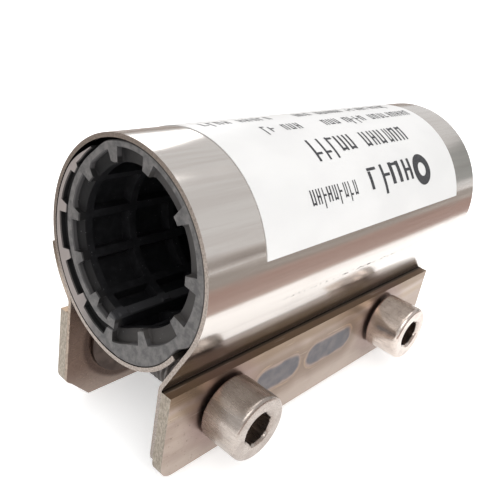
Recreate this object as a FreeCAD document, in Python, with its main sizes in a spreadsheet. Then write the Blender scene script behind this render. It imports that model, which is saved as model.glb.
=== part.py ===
import FreeCAD, Part
import Sketcher
import math
import os

# Pipe repair clamp: a stainless band lined with a wound rubber gasket and drawn
# together by two cap screws through a pair of flat bars.
#
# Frame: X runs along the pipe, Z is up, the bars hang below the band and the
# screws run along Y with their heads at -Y. The origin is the pipe's axis at
# the middle of the clamp's length. Millimetres.

V = FreeCAD.Vector
doc = FreeCAD.newDocument("repair_clamp")
sheet = doc.addObject("Spreadsheet::Sheet", "Dims")

CELLS = [
    # clamp
    ("clamp_len", 90.0), ("pipe_rad", 13.45),
    # band: outer radius, thickness, and its centre seen from the pipe axis
    ("band_rad", 20.0), ("skin", 0.8), ("band_y", 1.2), ("band_z", -1.75),
    # tongue: the band's free end lies on a tighter circle below
    ("tongue_drop", 2.84), ("tongue_deg", 209.5),
    # front flare and leg
    ("flare_deg", 27.0), ("leg_y", 13.0), ("bend_rad", 1.6), ("leg_bottom", 38.9),
    ("corner_cut", 5.4),
    # rear strap
    ("strap_top_deg", 16.0), ("strap_leave_deg", 46.0), ("strap_bend", 1.5),
    ("seat_gap", 0.02),
    # flat bars
    ("bar_thick", 2.3), ("bar_top", 18.95), ("bar_bottom", 36.9),
    ("front_long", 88.0), ("front_shift", -1.0), ("rear_long", 90.0), ("rear_shift", 0.0),
    ("rear_top", 18.3), ("rear_bottom", 35.7), ("bar_corner", 3.0),
    # screws, M8
    ("screw_near", -30.8), ("screw_far", 23.2), ("screw_z", 26.7),
    ("head_rad", 6.5), ("head_high", 8.0), ("head_gap", 0.6), ("head_bevel", 0.5),
    ("shank_rad", 4.0), ("shank_long", 45.0), ("tip_bevel", 0.9),
    ("hex_flats", 6.0), ("hex_deep", 4.4), ("clear_rad", 4.5),
    # threaded bushes
    ("bush_flange", 9.0), ("bush_face", 0.7), ("bush_body", 5.4), ("bush_back", 3.2),
    ("bush_bore", 4.06), ("bush_fit", 0.1),
    # slot welds
    ("weld_one", -15.6), ("weld_two", 2.0), ("weld_long_one", 14.6),
    ("weld_long_two", 17.0), ("weld_half", 3.1), ("weld_gap", 0.01),
    # gasket
    ("gasket_thick", 3.5), ("gasket_set", 0.0), ("lap_gap", 0.2), ("gasket_clear", 0.15),
    # label
    ("label_from", -32.2), ("label_long", 67.6), ("label_low_deg", 14.0),
    ("label_high_deg", 118.0), ("label_thick", 0.12),
]
VALUE = {}
for i, (alias, number) in enumerate(CELLS):
    cell = "B%d" % (i + 1)
    sheet.set("A%d" % (i + 1), alias)
    sheet.set(cell, str(number))
    sheet.setAlias(cell, alias)
    VALUE[alias] = number
doc.recompute()


class Q:
    """A length with the sheet formula that gives it."""

    def __init__(self, value, text):
        self.v, self.t = float(value), text

    @staticmethod
    def of(other):
        return other if isinstance(other, Q) else Q(other, repr(float(other)))

    def __add__(self, o):
        o = Q.of(o)
        return Q(self.v + o.v, "(%s + %s)" % (self.t, o.t))

    def __sub__(self, o):
        o = Q.of(o)
        return Q(self.v - o.v, "(%s - %s)" % (self.t, o.t))

    def __mul__(self, o):
        o = Q.of(o)
        return Q(self.v * o.v, "(%s * %s)" % (self.t, o.t))

    def __truediv__(self, o):
        o = Q.of(o)
        return Q(self.v / o.v, "(%s / %s)" % (self.t, o.t))

    def __neg__(self):
        return Q(-self.v, "(0 - %s)" % self.t)

    __radd__ = __add__

    def __rmul__(self, o):
        return self * o

    def __rsub__(self, o):
        return Q.of(o) - self


def D(alias):
    return Q(VALUE[alias], "Dims." + alias)


def qcos(a):
    a = Q.of(a)
    return Q(math.cos(math.radians(a.v)), "cos(%s * 1 deg)" % a.t)


def qsin(a):
    a = Q.of(a)
    return Q(math.sin(math.radians(a.v)), "sin(%s * 1 deg)" % a.t)


CY, CZ = D("band_y"), D("band_z")


def polar(radius, degrees, y0=None, z0=None):
    """A point at an angle from +Y towards +Z about the band's centre."""
    y0 = CY if y0 is None else y0
    z0 = CZ if z0 is None else z0
    return (y0 + radius * qcos(degrees), z0 + radius * qsin(degrees))


def ring(y, z):
    """A point given from the band's centre."""
    return (CY + y, CZ + z)


def plane(body, role):
    for feature in body.Origin.OriginFeatures:
        if feature.Role == role:
            return feature
    raise RuntimeError("no plane " + role)


def place_x(sketch, index, pos, q):
    """Hold one point of a sketch at a formula's distance from the sketch axes."""
    if abs(q[0].v) < 1e-9:
        sketch.addConstraint(Sketcher.Constraint("PointOnObject", index, pos, -2))
    else:
        n = sketch.addConstraint(Sketcher.Constraint("DistanceX", -1, 1, index, pos, q[0].v))
        sketch.setExpression("Constraints[%d]" % n, q[0].t)
    if abs(q[1].v) < 1e-9:
        sketch.addConstraint(Sketcher.Constraint("PointOnObject", index, pos, -1))
    else:
        n = sketch.addConstraint(Sketcher.Constraint("DistanceY", -1, 1, index, pos, q[1].v))
        sketch.setExpression("Constraints[%d]" % n, q[1].t)


def draw_loop(sketch, segments):
    """Draw a closed loop. A segment is (start, None) for a line to the next
    start, or (start, (centre, radius, turn)) for an arc; turn is +1 for
    counter-clockwise."""
    count = len(segments)
    ids = []
    for k, (start, arc) in enumerate(segments):
        end = segments[(k + 1) % count][0]
        a = V(start[0].v, start[1].v, 0)
        b = V(end[0].v, end[1].v, 0)
        if arc is None:
            ids.append((sketch.addGeometry(Part.LineSegment(a, b), False), 1))
        else:
            (cy, cz), radius, turn = arc
            c = V(cy.v, cz.v, 0)
            t0 = math.atan2(a.y - c.y, a.x - c.x)
            t1 = math.atan2(b.y - c.y, b.x - c.x)
            circle = Part.Circle(c, V(0, 0, 1), radius.v)
            if turn > 0:
                g = Part.ArcOfCircle(circle, t0, t1 if t1 > t0 else t1 + 2 * math.pi)
            else:
                g = Part.ArcOfCircle(circle, t1, t0 if t0 > t1 else t0 + 2 * math.pi)
            ids.append((sketch.addGeometry(g, False), turn))
    for k in range(count):
        nxt = (k + 1) % count
        here, turn = ids[k]
        there, turn2 = ids[nxt]
        end_pos = 2 if (segments[k][1] is None or turn > 0) else 1
        start_pos = 1 if (segments[nxt][1] is None or turn2 > 0) else 2
        sketch.addConstraint(Sketcher.Constraint("Coincident", here, end_pos, there, start_pos))
    for k, (start, arc) in enumerate(segments):
        index, turn = ids[k]
        pos = 1 if (arc is None or turn > 0) else 2
        place_x(sketch, index, pos, start)
        if arc is not None:
            end = segments[(k + 1) % count][0]
            chord = math.hypot(end[0].v - start[0].v, end[1].v - start[1].v)
            if chord > 1.999 * arc[1].v:
                # a half circle is held by its centre, as its radius is already fixed
                n = sketch.addConstraint(
                    Sketcher.Constraint("DistanceX", -1, 1, index, 3, arc[0][0].v))
                sketch.setExpression("Constraints[%d]" % n, arc[0][0].t)
            else:
                n = sketch.addConstraint(Sketcher.Constraint("Radius", index, arc[1].v))
                sketch.setExpression("Constraints[%d]" % n, arc[1].t)


def draw_circle(sketch, centre, radius):
    index = sketch.addGeometry(
        Part.Circle(V(centre[0].v, centre[1].v, 0), V(0, 0, 1), radius.v), False)
    place_x(sketch, index, 3, centre)
    n = sketch.addConstraint(Sketcher.Constraint("Radius", index, radius.v))
    sketch.setExpression("Constraints[%d]" % n, radius.t)


def new_body(label):
    body = doc.addObject("PartDesign::Body", label)
    body.Label = label
    return body


def new_sketch(body, name, role):
    sketch = body.newObject("Sketcher::SketchObject", name)
    sketch.AttachmentSupport = [(plane(body, role), "")]
    sketch.MapMode = "FlatFace"
    return sketch


def pad_both(body, sketch, length):
    pad = body.newObject("PartDesign::Pad", body.Name + "_pad")
    pad.Profile = sketch
    pad.setExpression("Length", length.t)
    if hasattr(pad, "SideType"):
        pad.SideType = "Symmetric"
    else:
        pad.Midplane = True
    doc.recompute()
    return pad


def cut_through(body, sketch, name, depth, backwards):
    """Pocket from a sketch to one side only, and check that it removes metal."""
    before = body.Shape.Volume
    pocket = body.newObject("PartDesign::Pocket", name)
    pocket.Profile = sketch
    pocket.Type = 0
    pocket.Length = depth
    pocket.Reversed = backwards
    doc.recompute()
    after = body.Shape.Volume
    if not after < before - 1.0:
        raise RuntimeError("%s removed nothing (%.2f -> %.2f)" % (name, before, after))
    return pocket


LEN = D("clamp_len")
R, T = D("band_rad"), D("skin")

# ---------------------------------------------------------------- band
# One sheet: tongue, bottom, rear, top, front, flare and the front leg.
alpha = D("flare_deg")
drop = D("tongue_drop")
tongue_c = ring(Q.of(0.0), -drop)
tongue_r = R - drop
leg_out = -D("leg_y")
leg_in = leg_out + T
# the flare's outer line meets the leg's front face here
bend_z = -((R - D("leg_y") * qcos(alpha)) / qsin(alpha))
half = alpha / 2.0
tan_half = qsin(half) / qcos(half)
bend = D("bend_rad")
reach = bend * tan_half
flare_end = ring(leg_out - reach * qsin(alpha), bend_z + reach * qcos(alpha))
leg_start = ring(leg_out, bend_z - reach)
bend_c = ring(leg_out - bend, bend_z - reach)
leg_low = -D("leg_bottom")
inner_flare_end = (flare_end[0] + T * qcos(alpha), flare_end[1] + T * qsin(alpha))
under = alpha + 180.0
band = new_body("band")
sk = new_sketch(band, "band_section", "YZ_Plane")
draw_loop(sk, [
    (polar(tongue_r, D("tongue_deg"), *tongue_c), (tongue_c, tongue_r, 1)),
    (ring(Q.of(0.0), -R), ((CY, CZ), R, 1)),
    (polar(R, under), None),
    (flare_end, (bend_c, bend, -1)),
    (leg_start, None),
    (ring(leg_out, leg_low), None),
    (ring(leg_in, leg_low), None),
    ((leg_start[0] + T, leg_start[1]), (bend_c, bend + T, 1)),
    (inner_flare_end, None),
    (polar(R - T, under), ((CY, CZ), R - T, -1)),
    (ring(Q.of(0.0), T - R), (tongue_c, tongue_r - T, -1)),
    (polar(tongue_r - T, D("tongue_deg"), *tongue_c), None),
])
pad_both(band, sk, LEN)


def screw_circles(sketch, radius):
    for alias in ("screw_near", "screw_far"):
        draw_circle(sketch, (D(alias), CZ - D("screw_z")), radius)


def corner_triangles(sketch, low, size):
    """Two corner cuts at the foot of a leg, with their long edges just outside it."""
    for side in (-1.0, 1.0):
        edge = LEN * (0.5 * side)
        out = Q.of(2.0 * side)
        base = CZ + low
        draw_loop(sketch, [
            ((edge + out, base - 2.0), None),
            ((edge - size * side - out, base - 2.0), None),
            ((edge + out, base + size + 2.0), None),
        ] if side < 0 else [
            ((edge + out, base - 2.0), None),
            ((edge + out, base + size + 2.0), None),
            ((edge - size * side - out, base - 2.0), None),
        ])


sk = new_sketch(band, "band_screw_holes", "XZ_Plane")
screw_circles(sk, D("clear_rad"))
cut_through(band, sk, "band_holes", 30.0, True)
sk = new_sketch(band, "band_corners", "XZ_Plane")
corner_triangles(sk, leg_low, D("corner_cut"))
cut_through(band, sk, "band_corner_cuts", 30.0, True)

# ---------------------------------------------------------------- rear strap
# A second sheet welded to the outside of the band at the rear; it leaves the
# band and runs down as the rear leg.
inner = R + D("seat_gap")
outer = inner + T
leave = -D("strap_leave_deg")
sb = D("strap_bend")
# the bend's centre lies outside the strap, below and behind
turn_c = (polar(outer + sb, leave))
strap_back = turn_c[0] - sb
strap_front = turn_c[0] - sb - T
strap = new_body("rear_strap")
sk = new_sketch(strap, "strap_section", "YZ_Plane")
draw_loop(sk, [
    (polar(outer, -D("strap_top_deg")), ((CY, CZ), outer, -1)),
    (polar(outer, leave), (turn_c, sb, 1)),
    ((strap_back, turn_c[1]), None),
    ((strap_back, CZ + leg_low), None),
    ((strap_front, CZ + leg_low), None),
    ((strap_front, turn_c[1]), (turn_c, sb + T, -1)),
    (polar(inner, leave), ((CY, CZ), inner, 1)),
    (polar(inner, -D("strap_top_deg")), None),
])
pad_both(strap, sk, LEN)
sk = new_sketch(strap, "strap_bush_holes", "XZ_Plane")
screw_circles(sk, D("bush_flange") + D("bush_fit"))
cut_through(strap, sk, "strap_holes", 30.0, False)
sk = new_sketch(strap, "strap_corners", "XZ_Plane")
corner_triangles(sk, leg_low, D("corner_cut"))
cut_through(strap, sk, "strap_corner_cuts", 30.0, False)


# ---------------------------------------------------------------- flat bars
def flat_bar(label, face_y, top, bottom, hole, long, shift):
    """A flat bar with rounded lower corners, screw holes and two weld slots;
    face_y is its rearmost or foremost face nearest the leg it is welded to."""
    body = new_body(label)
    sk = new_sketch(body, label + "_outline", "XZ_Plane")
    c = D("bar_corner")
    hl = long * 0.5
    up, low = CZ - top, CZ - bottom
    near, far = shift - hl, shift + hl
    draw_loop(sk, [
        ((near, low + c), ((near + c, low + c), c, 1)),
        ((near + c, low), None),
        ((far - c, low), ((far - c, low + c), c, 1)),
        ((far, low + c), None),
        ((far, up), None),
        ((near, up), None),
    ])
    screw_circles(sk, hole)
    r = D("weld_half")
    mid = CZ - D("screw_z")
    for alias, long in (("weld_one", "weld_long_one"), ("weld_two", "weld_long_two")):
        x, h = D(alias), D(long) * 0.5 - r
        draw_loop(sk, [
            ((x - h, mid + r), ((x - h, mid), r, 1)),
            ((x - h, mid - r), None),
            ((x + h, mid - r), ((x + h, mid), r, 1)),
            ((x + h, mid + r), None),
        ])
    pad = body.newObject("PartDesign::Pad", label + "_pad")
    pad.Profile = sk
    pad.setExpression("Length", D("bar_thick").t)
    doc.recompute()
    # the pad grows towards -Y from the sketch's plane
    body.setExpression("Placement.Base.y", face_y.t)
    doc.recompute()
    return body


front_face = CY + leg_out - D("seat_gap")          # the bar's rear face
rear_face = strap_back + D("seat_gap") + D("bar_thick")   # the rear bar's far face
front_bar = flat_bar("front_bar", front_face, D("bar_top"), D("bar_bottom"), D("clear_rad"),
                     D("front_long"), D("front_shift"))
rear_bar = flat_bar("rear_bar", rear_face, D("rear_top"), D("rear_bottom"),
                    D("bush_body") + D("bush_fit"), D("rear_long"), D("rear_shift"))


# ---------------------------------------------------------------- slot welds
def slot_welds(label, face_y):
    body = new_body(label)
    sk = new_sketch(body, label + "_outline", "XZ_Plane")
    r = D("weld_half") - D("weld_gap")
    mid = CZ - D("screw_z")
    for alias, long in (("weld_one", "weld_long_one"), ("weld_two", "weld_long_two")):
        x, h = D(alias), D(long) * 0.5 - D("weld_half")
        draw_loop(sk, [
            ((x - h, mid + r), ((x - h, mid), r, 1)),
            ((x - h, mid - r), None),
            ((x + h, mid - r), ((x + h, mid), r, 1)),
            ((x + h, mid + r), None),
        ])
    pad = body.newObject("PartDesign::Pad", label + "_pad")
    pad.Profile = sk
    pad.setExpression("Length", D("bar_thick").t)
    try:
        body.AllowCompound = True
    except Exception:
        pass
    doc.recompute()
    body.setExpression("Placement.Base.y", face_y.t)
    doc.recompute()
    return body


front_welds = slot_welds("front_slot_welds", front_face)
rear_welds = slot_welds("rear_slot_welds", rear_face)


# ---------------------------------------------------------------- turned pieces
def set_q(obj, prop, q):
    obj.setExpression(prop, q.t)


def cylinder(name, radius, height, x, y, z):
    """A cylinder along +Y from (x, y, z)."""
    c = doc.addObject("Part::Cylinder", name)
    set_q(c, "Radius", radius)
    set_q(c, "Height", height)
    c.Placement = FreeCAD.Placement(V(x.v, y.v, z.v), FreeCAD.Rotation(V(1, 0, 0), -90))
    set_q(c, "Placement.Base.x", x)
    set_q(c, "Placement.Base.y", y)
    set_q(c, "Placement.Base.z", z)
    return c


def cone(name, r1, r2, height, x, y, z):
    c = doc.addObject("Part::Cone", name)
    set_q(c, "Radius1", r1)
    set_q(c, "Radius2", r2)
    set_q(c, "Height", height)
    c.Placement = FreeCAD.Placement(V(x.v, y.v, z.v), FreeCAD.Rotation(V(1, 0, 0), -90))
    set_q(c, "Placement.Base.x", x)
    set_q(c, "Placement.Base.y", y)
    set_q(c, "Placement.Base.z", z)
    return c


def fuse(name, shapes):
    f = doc.addObject("Part::MultiFuse", name)
    f.Shapes = shapes
    f.Refine = True
    return f


def cut(name, base, tool):
    c = doc.addObject("Part::Cut", name)
    c.Base, c.Tool = base, tool
    return c


Z_SCREW = CZ - D("screw_z")
under_head = front_face - D("bar_thick") - D("head_gap")


def cap_screw(label, alias):
    x = D(alias)
    hb, tb = D("head_bevel"), D("tip_bevel")
    face = under_head - D("head_high")
    head = cylinder(label + "_head", D("head_rad"), D("head_high") - hb, x, face + hb, Z_SCREW)
    bevel = cone(label + "_bevel", D("head_rad") - hb, D("head_rad"), hb, x, face, Z_SCREW)
    shank = cylinder(label + "_shank", D("shank_rad"), D("shank_long") - tb, x, under_head, Z_SCREW)
    tip = cone(label + "_tip", D("shank_rad"), D("shank_rad") - tb, tb, x,
               under_head + D("shank_long") - tb, Z_SCREW)
    solid = fuse(label + "_solid", [head, bevel, shank, tip])
    hexa = doc.addObject("Part::Prism", label + "_socket")
    hexa.Polygon = 6
    set_q(hexa, "Circumradius", D("hex_flats") * (1.0 / math.sqrt(3.0)))
    set_q(hexa, "Height", D("hex_deep") + 1.0)
    hexa.Placement = FreeCAD.Placement(V(x.v, face.v - 1.0, Z_SCREW.v), FreeCAD.Rotation(V(1, 0, 0), -90))
    set_q(hexa, "Placement.Base.x", x)
    set_q(hexa, "Placement.Base.y", face - 1.0)
    set_q(hexa, "Placement.Base.z", Z_SCREW)
    done = cut(label, solid, hexa)
    done.Label = label
    return done


screw_near = cap_screw("cap_screw_near", "screw_near")
screw_far = cap_screw("cap_screw_far", "screw_far")


def bush(label, alias):
    """A flanged threaded bush: its flange fills the strap's hole and bears on
    the rear bar, its body passes through the bar."""
    x = D(alias)
    start = strap_front - D("bush_face")
    seat = strap_back + D("seat_gap") * 0.5
    flange = cylinder(label + "_flange", D("bush_flange"), seat - start, x, start, Z_SCREW)
    body = cylinder(label + "_body", D("bush_body"), D("bar_thick") + D("bush_back") + 0.5,
                    x, seat - 0.5, Z_SCREW)
    solid = fuse(label + "_solid", [flange, body])
    bore = cylinder(label + "_bore", D("bush_bore"), Q.of(30.0), x, start - 5.0, Z_SCREW)
    done = cut(label, solid, bore)
    done.Label = label
    return done


bush_near = bush("threaded_bush_near", "screw_near")
bush_far = bush("threaded_bush_far", "screw_far")
doc.recompute()

# ---------------------------------------------------------------- gasket
# A rubber strip wound about one and a third times: its inner lap holds the pipe,
# then it climbs over its own end and tapers out between the lap and the band.
rb, tg = VALUE["pipe_rad"], VALUE["gasket_thick"]
by, bz = VALUE["band_y"], VALUE["band_z"]
lap_in = rb + tg + VALUE["lap_gap"]
shell = VALUE["band_rad"] - VALUE["skin"] - VALUE["gasket_clear"]


def at(radius, degrees, y=0.0, z=0.0):
    a = math.radians(degrees)
    return V(0, y + radius * math.cos(a), z + radius * math.sin(a))


def arc_edge(radius, a0, a1, y=0.0, z=0.0):
    return Part.Arc(at(radius, a0, y, z), at(radius, (a0 + a1) / 2.0, y, z),
                    at(radius, a1, y, z)).toShape()


def tangent(degrees):
    a = math.radians(degrees)
    return V(0, -math.sin(a), math.cos(a))


def spline_edge(points, first, last):
    s = Part.BSplineCurve()
    s.interpolate(Points=points, InitialTangent=first, FinalTangent=last)
    return s.toShape()


A_END, A_CLIMB, A_LAP, A_TIP = -84.0, 195.0, 272.0, 410.0


def shell_angle(degrees):
    """The band-centred angle of the shell circle where the ray at this angle
    from the pipe axis meets it."""
    u = (math.cos(math.radians(degrees)), math.sin(math.radians(degrees)))
    b = by * u[0] + bz * u[1]
    s = b + math.sqrt(shell ** 2 - by ** 2 - bz ** 2 + b * b)
    return math.degrees(math.atan2(s * u[1] - bz, s * u[0] - by))


g_lap = shell_angle(A_LAP) % 360.0
g_tip = shell_angle(A_TIP) % 360.0 + 360.0
inner_climb = [at(rb, A_CLIMB), at(rb + 0.12, 210.0), at(rb + 0.62, 224.0),
               at(rb + 1.62, 240.0), at(rb + 2.75, 255.0), at(lap_in, A_LAP)]
outer_climb = [at(rb + tg, A_CLIMB), at(rb + tg + 0.08, 210.0), at(rb + tg + 0.62, 224.0),
               at(rb + tg + 1.75, 240.0), at(rb + tg + 3.0, 255.0), at(shell, g_lap, by, bz)]
edges = [
    arc_edge(rb, A_END, A_CLIMB),
    spline_edge(inner_climb, tangent(A_CLIMB), tangent(A_LAP)),
    arc_edge(lap_in, A_LAP, A_TIP),
    Part.LineSegment(at(lap_in, A_TIP), at(shell, g_tip, by, bz)).toShape(),
    arc_edge(shell, g_tip, g_lap, by, bz),
    spline_edge(outer_climb, tangent(A_CLIMB), tangent(g_lap)),
    arc_edge(rb + tg, A_CLIMB, A_END),
    Part.LineSegment(at(rb + tg, A_END), at(rb, A_END)).toShape(),
]
wire = Part.Wire(Part.__sortEdges__(edges))
gasket_len = VALUE["clamp_len"] - 2.0 * VALUE["gasket_set"]
gasket_shape = Part.Face(wire).extrude(V(gasket_len, 0, 0))
gasket = doc.addObject("Part::Feature", "gasket")
gasket.Label = "gasket"
gasket.Shape = gasket_shape
gasket.Placement = FreeCAD.Placement(V(-gasket_len / 2.0, 0, 0), FreeCAD.Rotation())

# ---------------------------------------------------------------- label
label = new_body("label")
sk = new_sketch(label, "label_section", "YZ_Plane")
film_in = R + D("seat_gap")
film_out = film_in + D("label_thick")
low_a, high_a = 180.0 - D("label_low_deg"), 180.0 - D("label_high_deg")
draw_loop(sk, [
    (polar(film_in, high_a), ((CY, CZ), film_in, 1)),
    (polar(film_in, low_a), None),
    (polar(film_out, low_a), ((CY, CZ), film_out, -1)),
    (polar(film_out, high_a), None),
])
pad = label.newObject("PartDesign::Pad", "label_pad")
pad.Profile = sk
pad.setExpression("Length", D("label_long").t)
doc.recompute()
label.setExpression("Placement.Base.x", D("label_from").t)
doc.recompute()

# ---------------------------------------------------------------- checks, files
PIECES = [band, strap, front_bar, rear_bar, front_welds, rear_welds, screw_near,
          screw_far, bush_near, bush_far, gasket, label]
for obj in doc.Objects:
    if "Invalid" in obj.State or "Error" in obj.State:
        raise RuntimeError("%s is %s" % (obj.Label, obj.State))
for piece in PIECES:
    if piece.Shape.isNull() or not piece.Shape.isValid() or not piece.Shape.Solids:
        raise RuntimeError(piece.Label + " has no valid solid")
os.makedirs("parts", exist_ok=True)
for piece in PIECES:
    box = piece.Shape.BoundBox
    print("%-20s solids %d  volume %9.1f  x %7.2f %7.2f  y %7.2f %7.2f  z %7.2f %7.2f" % (
        piece.Label, len(piece.Shape.Solids), piece.Shape.Volume,
        box.XMin, box.XMax, box.YMin, box.YMax, box.ZMin, box.ZMax))
    piece.Shape.exportStep("parts/%s.step" % piece.Label)
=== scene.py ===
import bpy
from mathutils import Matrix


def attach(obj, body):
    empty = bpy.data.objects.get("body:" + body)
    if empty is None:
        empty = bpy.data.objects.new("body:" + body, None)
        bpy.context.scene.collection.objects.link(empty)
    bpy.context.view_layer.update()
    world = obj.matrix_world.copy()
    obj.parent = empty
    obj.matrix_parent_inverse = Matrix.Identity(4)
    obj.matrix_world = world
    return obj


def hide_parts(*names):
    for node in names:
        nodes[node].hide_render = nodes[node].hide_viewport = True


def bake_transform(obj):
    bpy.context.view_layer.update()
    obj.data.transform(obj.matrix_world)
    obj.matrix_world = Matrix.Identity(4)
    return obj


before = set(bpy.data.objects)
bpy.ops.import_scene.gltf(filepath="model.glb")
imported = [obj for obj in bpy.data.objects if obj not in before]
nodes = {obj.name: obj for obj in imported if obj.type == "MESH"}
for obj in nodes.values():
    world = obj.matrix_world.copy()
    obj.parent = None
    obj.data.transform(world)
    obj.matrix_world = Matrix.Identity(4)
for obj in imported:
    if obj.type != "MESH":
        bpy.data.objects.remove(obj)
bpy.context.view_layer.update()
import bpy
import bmesh
import math
import random
import numpy as np
from mathutils import Vector, Matrix

MM = 0.001
CY, CZ = 1.2, -1.75
scene = bpy.context.scene


# ------------------------------------------------------------------ node helpers
class E:
    """A value in a material's node tree, with arithmetic."""

    def __init__(self, nt, sock):
        self.nt, self.s = nt, sock

    def op(self, kind, *others, clamp=False):
        n = self.nt.nodes.new("ShaderNodeMath")
        n.operation = kind
        n.use_clamp = clamp
        self.nt.links.new(self.s, n.inputs[0])
        for i, o in enumerate(others):
            if isinstance(o, E):
                self.nt.links.new(o.s, n.inputs[i + 1])
            else:
                n.inputs[i + 1].default_value = float(o)
        return E(self.nt, n.outputs[0])

    def __add__(self, o): return self.op("ADD", o)
    def __sub__(self, o): return self.op("SUBTRACT", o)
    def __mul__(self, o): return self.op("MULTIPLY", o)
    def __truediv__(self, o): return self.op("DIVIDE", o)
    def __neg__(self): return self.op("MULTIPLY", -1.0)
    def min(self, o): return self.op("MINIMUM", o)
    def max(self, o): return self.op("MAXIMUM", o)
    def abs(self): return self.op("ABSOLUTE")
    def sq(self): return self.op("MULTIPLY", self)
    def sqrt(self): return self.op("SQRT")
    def clamp(self): return self.op("ADD", 0.0, clamp=True)
    def inv(self): return (self * -1.0) + 1.0

    def step(self, a, b):
        """0 below a, 1 above b, smooth between; reversed when a > b."""
        n = self.nt.nodes.new("ShaderNodeMapRange")
        n.interpolation_type = "SMOOTHSTEP"
        n.inputs["From Min"].default_value = min(a, b)
        n.inputs["From Max"].default_value = max(a, b)
        n.inputs["To Min"].default_value = 0.0 if a < b else 1.0
        n.inputs["To Max"].default_value = 1.0 if a < b else 0.0
        self.nt.links.new(self.s, n.inputs["Value"])
        return E(self.nt, n.outputs["Result"])


class Mat:
    """A Principled material worked in millimetre object coordinates."""

    def __init__(self, name, metallic=0.0, **constants):
        self.m = bpy.data.materials.new(name)
        self.m.use_nodes = True
        nt = self.nt = self.m.node_tree
        nt.nodes.clear()
        out = nt.nodes.new("ShaderNodeOutputMaterial")
        self.b = nt.nodes.new("ShaderNodeBsdfPrincipled")
        nt.links.new(self.b.outputs[0], out.inputs[0])
        self.b.inputs["Metallic"].default_value = metallic
        for k, v in constants.items():
            self.b.inputs[k.replace("_", " ")].default_value = v
        tc = nt.nodes.new("ShaderNodeTexCoord")
        sc = nt.nodes.new("ShaderNodeVectorMath")
        sc.operation = "SCALE"
        sc.inputs[3].default_value = 1000.0
        nt.links.new(tc.outputs["Object"], sc.inputs[0])
        self.p = sc.outputs[0]
        sep = nt.nodes.new("ShaderNodeSeparateXYZ")
        nt.links.new(self.p, sep.inputs[0])
        self.x, self.y, self.z = (E(nt, sep.outputs[i]) for i in range(3))
        geo = nt.nodes.new("ShaderNodeNewGeometry")
        sn = nt.nodes.new("ShaderNodeSeparateXYZ")
        nt.links.new(geo.outputs["Normal"], sn.inputs[0])
        self.nx, self.ny, self.nz = (E(nt, sn.outputs[i]) for i in range(3))

    def val(self, v):
        n = self.nt.nodes.new("ShaderNodeValue")
        n.outputs[0].default_value = v
        return E(self.nt, n.outputs[0])

    def vec(self, stretch, shift=(0, 0, 0)):
        n = self.nt.nodes.new("ShaderNodeMapping")
        n.inputs["Scale"].default_value = stretch
        n.inputs["Location"].default_value = shift
        self.nt.links.new(self.p, n.inputs["Vector"])
        return n.outputs[0]

    def noise(self, stretch=(1, 1, 1), scale=1.0, detail=3.0, rough=0.5, shift=(0, 0, 0), distort=0.0):
        n = self.nt.nodes.new("ShaderNodeTexNoise")
        n.inputs["Scale"].default_value = scale
        n.inputs["Detail"].default_value = detail
        n.inputs["Roughness"].default_value = rough
        n.inputs["Distortion"].default_value = distort
        self.nt.links.new(self.vec(stretch, shift), n.inputs["Vector"])
        return E(self.nt, n.outputs["Fac"])

    def voronoi(self, stretch=(1, 1, 1), scale=1.0, feature="F1"):
        n = self.nt.nodes.new("ShaderNodeTexVoronoi")
        n.feature = feature
        n.inputs["Scale"].default_value = scale
        self.nt.links.new(self.vec(stretch), n.inputs["Vector"])
        return E(self.nt, n.outputs["Distance"])

    def mix(self, fac, a, b, mode="MIX"):
        n = self.nt.nodes.new("ShaderNodeMix")
        n.data_type = "RGBA"
        n.blend_type = mode
        n.clamp_factor = True
        if isinstance(fac, E):
            self.nt.links.new(fac.s, n.inputs[0])
        else:
            n.inputs[0].default_value = fac
        for sock, c in ((n.inputs[6], a), (n.inputs[7], b)):
            if isinstance(c, (tuple, list)):
                sock.default_value = (*c[:3], 1)
            else:
                self.nt.links.new(c, sock)
        return n.outputs[2]

    def ramp(self, fac, stops):
        n = self.nt.nodes.new("ShaderNodeValToRGB")
        cr = n.color_ramp
        while len(cr.elements) < len(stops):
            cr.elements.new(0.5)
        for e, (pos, c) in zip(cr.elements, stops):
            e.position = pos
            e.color = (*c, 1)
        self.nt.links.new(fac.s, n.inputs[0])
        return n.outputs[0]

    def color(self, c):
        if isinstance(c, (tuple, list)):
            self.b.inputs["Base Color"].default_value = (*c[:3], 1)
        else:
            self.nt.links.new(c, self.b.inputs["Base Color"])

    def rough(self, e):
        if isinstance(e, E):
            self.nt.links.new(e.s, self.b.inputs["Roughness"])
        else:
            self.b.inputs["Roughness"].default_value = e

    def bump(self, *layers):
        """Each layer is (height, strength, distance in mm)."""
        last = None
        for h, strength, dist in layers:
            n = self.nt.nodes.new("ShaderNodeBump")
            n.inputs["Strength"].default_value = strength
            n.inputs["Distance"].default_value = dist * MM
            self.nt.links.new(h.s, n.inputs["Height"])
            if last is not None:
                self.nt.links.new(last, n.inputs["Normal"])
            last = n.outputs[0]
        self.nt.links.new(last, self.b.inputs["Normal"])


def capsule(m, xc, half, zc):
    """Distance in mm from a short horizontal line on a bar's face."""
    dx = m.x - m.x.max(xc - half).min(xc + half)
    dz = m.z - zc
    return (dx.sq() + dz.sq()).sqrt()


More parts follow.
